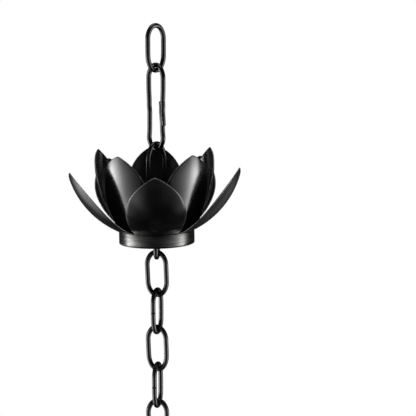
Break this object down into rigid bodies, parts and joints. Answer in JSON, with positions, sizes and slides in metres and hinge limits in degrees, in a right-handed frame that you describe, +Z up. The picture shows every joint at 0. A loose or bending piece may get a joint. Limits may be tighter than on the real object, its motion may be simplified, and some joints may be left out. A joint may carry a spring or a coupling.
{
  "type": "rain chain",
  "caption": "Hanging rain chain of oval wire links with open lotus-flower cups and a faceted glass drop at its foot.",
  "frame": {"origin": "where the gutter hook bears, inside the top end of the top link, on the chain's line", "axes": "+Z up along the chain's line, which hangs plumb; the front, with one outer petal of each cup facing it, is -Y"},
  "size_m": [0.1486, 0.147, 1.8144],
  "materials": {
    "black_coat": "satin black coat, with the base rings brushed upright under it",
    "bright_steel": "bright wire",
    "amber_glass": "clear amber, faceted and polished"
  },
  "bodies": {
    "link_01": {"link_01": "black_coat"},
    "link_02": {"link_02": "black_coat"},
    "cup_1": {"cup_1_hanger": "black_coat", "cup_1_base_ring": "black_coat", "cup_1_outer_petals": "black_coat", "cup_1_inner_petals": "black_coat"},
    "link_03": {"link_03": "black_coat"},
    "link_04": {"link_04": "black_coat"},
    "link_05": {"link_05": "black_coat"},
    "link_06": {"link_06": "black_coat"},
    "link_07": {"link_07": "black_coat"},
    "link_08": {"link_08": "black_coat"},
    "link_09": {"link_09": "black_coat"},
    "cup_2": {"cup_2_hanger": "black_coat", "cup_2_base_ring": "black_coat", "cup_2_outer_petals": "black_coat", "cup_2_inner_petals": "black_coat"},
    "link_10": {"link_10": "black_coat"},
    "link_11": {"link_11": "black_coat"},
    "link_12": {"link_12": "black_coat"},
    "link_13": {"link_13": "black_coat"},
    "link_14": {"link_14": "black_coat"},
    "link_15": {"link_15": "black_coat"},
    "link_16": {"link_16": "black_coat"},
    "cup_3": {"cup_3_hanger": "black_coat", "cup_3_base_ring": "black_coat", "cup_3_outer_petals": "black_coat", "cup_3_inner_petals": "black_coat"},
    "link_17": {"link_17": "black_coat"},
    "link_18": {"link_18": "black_coat"},
    "link_19": {"link_19": "black_coat"},
    "link_20": {"link_20": "black_coat"},
    "link_21": {"link_21": "black_coat"},
    "link_22": {"link_22": "black_coat"},
    "link_23": {"link_23": "black_coat"},
    "cup_4": {"cup_4_hanger": "black_coat", "cup_4_base_ring": "black_coat", "cup_4_outer_petals": "black_coat", "cup_4_inner_petals": "black_coat"},
    "link_24": {"link_24": "black_coat"},
    "link_25": {"link_25": "black_coat"},
    "link_26": {"link_26": "black_coat"},
    "link_27": {"link_27": "black_coat"},
    "link_28": {"link_28": "black_coat"},
    "link_29": {"link_29": "black_coat"},
    "link_30": {"link_30": "black_coat"},
    "cup_5": {"cup_5_hanger": "black_coat", "cup_5_base_ring": "black_coat", "cup_5_outer_petals": "black_coat", "cup_5_inner_petals": "black_coat"},
    "link_31": {"link_31": "black_coat"},
    "link_32": {"link_32": "black_coat"},
    "link_33": {"link_33": "black_coat"},
    "link_34": {"link_34": "black_coat"},
    "link_35": {"link_35": "black_coat"},
    "link_36": {"link_36": "black_coat"},
    "link_37": {"link_37": "black_coat"},
    "drop_ring": {"drop_ring": "bright_steel"},
    "drop": {"drop": "amber_glass"}
  },
  "joints": [
    {"name": "link_01_to_link_02", "type": "hinge", "parent": "link_01", "child": "link_02", "pos_m": [0, 0, -0.0357], "axis": [0.809, 0.5878, 0], "range_deg": [-70, 70]},
    {"name": "link_02_to_cup_1", "type": "hinge", "parent": "link_02", "child": "cup_1", "pos_m": [0, 0, -0.1029], "axis": [-0.7431, 0.6691, 0], "range_deg": [-60, 60]},
    {"name": "cup_1_to_link_03", "type": "hinge", "parent": "cup_1", "child": "link_03", "pos_m": [0, 0, -0.1975], "axis": [-0.1564, -0.9877, 0], "range_deg": [-70, 70]},
    {"name": "link_03_to_link_04", "type": "hinge", "parent": "link_03", "child": "link_04", "pos_m": [0, 0, -0.2308], "axis": [-0.9903, 0.1392, 0], "range_deg": [-70, 70]},
    {"name": "link_04_to_link_05", "type": "hinge", "parent": "link_04", "child": "link_05", "pos_m": [0, 0, -0.2641], "axis": [0.4226, 0.9063, 0], "range_deg": [-70, 70]},
    {"name": "link_05_to_link_06", "type": "hinge", "parent": "link_05", "child": "link_06", "pos_m": [0, 0, -0.2974], "axis": [0.9511, -0.309, 0], "range_deg": [-70, 70]},
    {"name": "link_06_to_link_07", "type": "hinge", "parent": "link_06", "child": "link_07", "pos_m": [0, 0, -0.3307], "axis": [-0.342, -0.9397, 0], "range_deg": [-70, 70]},
    {"name": "link_07_to_link_08", "type": "hinge", "parent": "link_07", "child": "link_08", "pos_m": [0, 0, -0.364], "axis": [-0.9945, 0.1045, 0], "range_deg": [-70, 70]},
    {"name": "link_08_to_link_09", "type": "hinge", "parent": "link_08", "child": "link_09", "pos_m": [0, 0, -0.3973], "axis": [0.1045, 0.9945, 0], "range_deg": [-70, 70]},
    {"name": "link_09_to_cup_2", "type": "hinge", "parent": "link_09", "child": "cup_2", "pos_m": [0, 0, -0.4306], "axis": [0.9986, 0.0523, 0], "range_deg": [-60, 60]},
    {"name": "cup_2_to_link_10", "type": "hinge", "parent": "cup_2", "child": "link_10", "pos_m": [0, 0, -0.5252], "axis": [-0.1736, -0.9848, 0], "range_deg": [-70, 70]},
    {"name": "link_10_to_link_11", "type": "hinge", "parent": "link_10", "child": "link_11", "pos_m": [0, 0, -0.5585], "axis": [-0.9903, 0.1392, 0], "range_deg": [-70, 70]},
    {"name": "link_11_to_link_12", "type": "hinge", "parent": "link_11", "child": "link_12", "pos_m": [0, 0, -0.5918], "axis": [0, 1, 0], "range_deg": [-70, 70]},
    {"name": "link_12_to_link_13", "type": "hinge", "parent": "link_12", "child": "link_13", "pos_m": [0, 0, -0.6251], "axis": [0.9976, 0.0698, 0], "range_deg": [-70, 70]},
    {"name": "link_13_to_link_14", "type": "hinge", "parent": "link_13", "child": "link_14", "pos_m": [0, 0, -0.6584], "axis": [-0.2079, -0.9781, 0], "range_deg": [-70, 70]},
    {"name": "link_14_to_link_15", "type": "hinge", "parent": "link_14", "child": "link_15", "pos_m": [0, 0, -0.6917], "axis": [-0.9986, 0.0523, 0], "range_deg": [-70, 70]},
    {"name": "link_15_to_link_16", "type": "hinge", "parent": "link_15", "child": "link_16", "pos_m": [0, 0, -0.725], "axis": [0.0349, 0.9994, 0], "range_deg": [-70, 70]},
    {"name": "link_16_to_cup_3", "type": "hinge", "parent": "link_16", "child": "cup_3", "pos_m": [0, 0, -0.7583], "axis": [1, 0, 0], "range_deg": [-60, 60]},
    {"name": "cup_3_to_link_17", "type": "hinge", "parent": "cup_3", "child": "link_17", "pos_m": [0, 0, -0.8529], "axis": [-0.0349, -0.9994, 0], "range_deg": [-70, 70]},
    {"name": "link_17_to_link_18", "type": "hinge", "parent": "link_17", "child": "link_18", "pos_m": [0, 0, -0.8862], "axis": [-0.9994, 0.0349, 0], "range_deg": [-70, 70]},
    {"name": "link_18_to_link_19", "type": "hinge", "parent": "link_18", "child": "link_19", "pos_m": [0, 0, -0.9195], "axis": [-0.1045, 0.9945, 0], "range_deg": [-70, 70]},
    {"name": "link_19_to_link_20", "type": "hinge", "parent": "link_19", "child": "link_20", "pos_m": [0, 0, -0.9528], "axis": [1, 0, 0], "range_deg": [-70, 70]},
    {"name": "link_20_to_link_21", "type": "hinge", "parent": "link_20", "child": "link_21", "pos_m": [0, 0, -0.9861], "axis": [-0.1045, -0.9945, 0], "range_deg": [-70, 70]},
    {"name": "link_21_to_link_22", "type": "hinge", "parent": "link_21", "child": "link_22", "pos_m": [0, 0, -1.0194], "axis": [-0.9903, -0.1392, 0], "range_deg": [-70, 70]},
    {"name": "link_22_to_link_23", "type": "hinge", "parent": "link_22", "child": "link_23", "pos_m": [0, 0, -1.0527], "axis": [0.1392, 0.9903, 0], "range_deg": [-70, 70]},
    {"name": "link_23_to_cup_4", "type": "hinge", "parent": "link_23", "child": "cup_4", "pos_m": [0, 0, -1.086], "axis": [0.9976, -0.0698, 0], "range_deg": [-60, 60]},
    {"name": "cup_4_to_link_24", "type": "hinge", "parent": "cup_4", "child": "link_24", "pos_m": [0, 0, -1.1806], "axis": [0.0349, -0.9994, 0], "range_deg": [-70, 70]},
    {"name": "link_24_to_link_25", "type": "hinge", "parent": "link_24", "child": "link_25", "pos_m": [0, 0, -1.2139], "axis": [-0.9397, -0.342, 0], "range_deg": [-70, 70]},
    {"name": "link_25_to_link_26", "type": "hinge", "parent": "link_25", "child": "link_26", "pos_m": [0, 0, -1.2472], "axis": [-0.6157, 0.788, 0], "range_deg": [-70, 70]},
    {"name": "link_26_to_link_27", "type": "hinge", "parent": "link_26", "child": "link_27", "pos_m": [0, 0, -1.2805], "axis": [0.5592, 0.829, 0], "range_deg": [-70, 70]},
    {"name": "link_27_to_link_28", "type": "hinge", "parent": "link_27", "child": "link_28", "pos_m": [0, 0, -1.3138], "axis": [0.9613, -0.2756, 0], "range_deg": [-70, 70]},
    {"name": "link_28_to_link_29", "type": "hinge", "parent": "link_28", "child": "link_29", "pos_m": [0, 0, -1.3471], "axis": [0.0349, -0.9994, 0], "range_deg": [-70, 70]},
    {"name": "link_29_to_link_30", "type": "hinge", "parent": "link_29", "child": "link_30", "pos_m": [0, 0, -1.3804], "axis": [-0.9397, -0.342, 0], "range_deg": [-70, 70]},
    {"name": "link_30_to_cup_5", "type": "hinge", "parent": "link_30", "child": "cup_5", "pos_m": [0, 0, -1.4137], "axis": [-0.6157, 0.788, 0], "range_deg": [-60, 60]},
    {"name": "cup_5_to_link_31", "type": "hinge", "parent": "cup_5", "child": "link_31", "pos_m": [0, 0, -1.5083], "axis": [0.2756, 0.9613, 0], "range_deg": [-70, 70]},
    {"name": "link_31_to_link_32", "type": "hinge", "parent": "link_31", "child": "link_32", "pos_m": [0, 0, -1.5416], "axis": [0.9848, -0.1736, 0], "range_deg": [-70, 70]},
    {"name": "link_32_to_link_33", "type": "hinge", "parent": "link_32", "child": "link_33", "pos_m": [0, 0, -1.5749], "axis": [-0.1045, -0.9945, 0], "range_deg": [-70, 70]},
    {"name": "link_33_to_link_34", "type": "hinge", "parent": "link_33", "child": "link_34", "pos_m": [0, 0, -1.6082], "axis": [-0.9994, -0.0349, 0], "range_deg": [-70, 70]},
    {"name": "link_34_to_link_35", "type": "hinge", "parent": "link_34", "child": "link_35", "pos_m": [0, 0, -1.6415], "axis": [-0.0349, 0.9994, 0], "range_deg": [-70, 70]},
    {"name": "link_35_to_link_36", "type": "hinge", "parent": "link_35", "child": "link_36", "pos_m": [0, 0, -1.6748], "axis": [0.9976, -0.0698, 0], "range_deg": [-70, 70]},
    {"name": "link_36_to_link_37", "type": "hinge", "parent": "link_36", "child": "link_37", "pos_m": [0, 0, -1.7081], "axis": [-0.342, -0.9397, 0], "range_deg": [-70, 70]},
    {"name": "link_37_to_drop_ring", "type": "hinge", "parent": "link_37", "child": "drop_ring", "pos_m": [0, 0, -1.7414], "axis": [-0.9613, 0.2756, 0], "range_deg": [-70, 70]},
    {"name": "drop_ring_to_drop", "type": "hinge", "parent": "drop_ring", "child": "drop", "pos_m": [0, 0, -1.7512], "axis": [0.342, 0.9397, 0], "range_deg": [-60, 60]}
  ]
}
